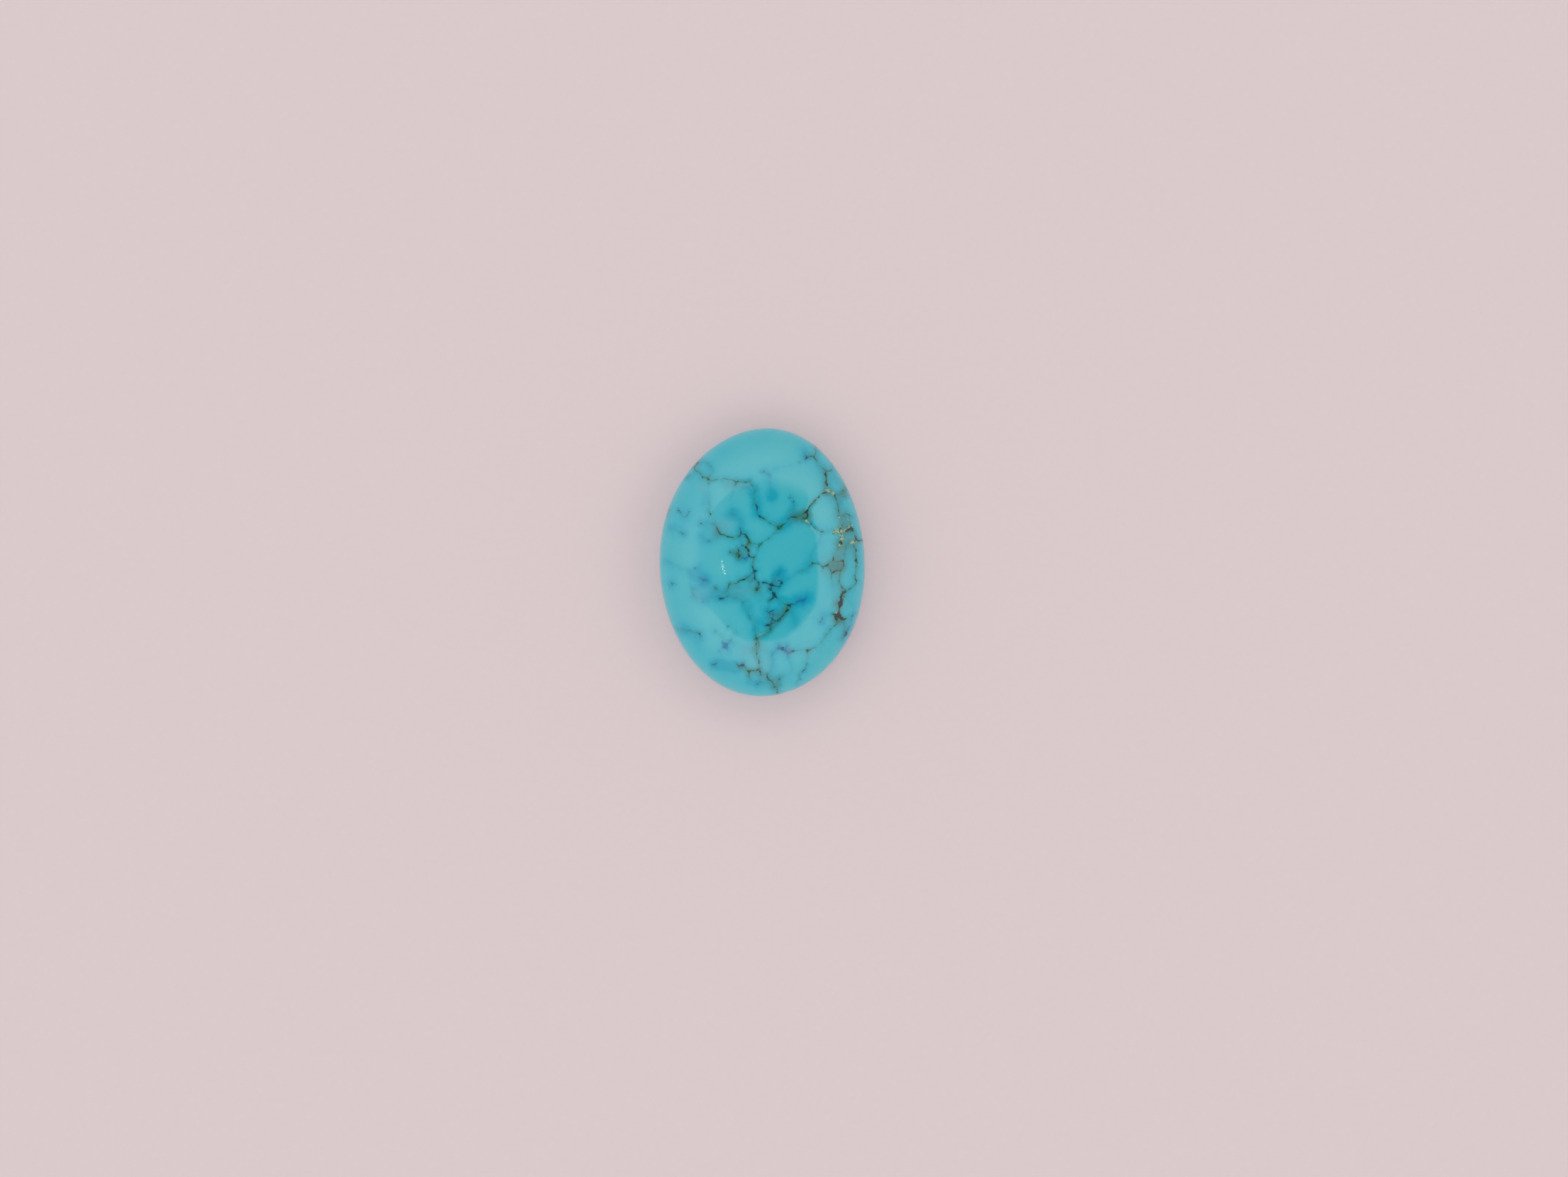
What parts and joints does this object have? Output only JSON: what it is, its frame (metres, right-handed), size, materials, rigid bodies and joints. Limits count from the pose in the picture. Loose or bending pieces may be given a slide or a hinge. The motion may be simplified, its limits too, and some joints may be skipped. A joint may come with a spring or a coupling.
{
  "type": "turquoise cabochon",
  "caption": "Oval turquoise cabochon with dark spider-web matrix: a smooth polished dome of stone on a flat ground back, loose and unmounted.",
  "frame": {"origin": "middle of the flat ground back, under the centre of the oval outline", "axes": "+Z out of the back through the top of the dome, +Y along the oval's length, +X across its width"},
  "size_m": [0.0138, 0.018, 0.005],
  "materials": {
    "polished_turquoise": "polished"
  },
  "bodies": {
    "root": {"turquoise_cabochon": "polished_turquoise"}
  },
  "joints": []
}
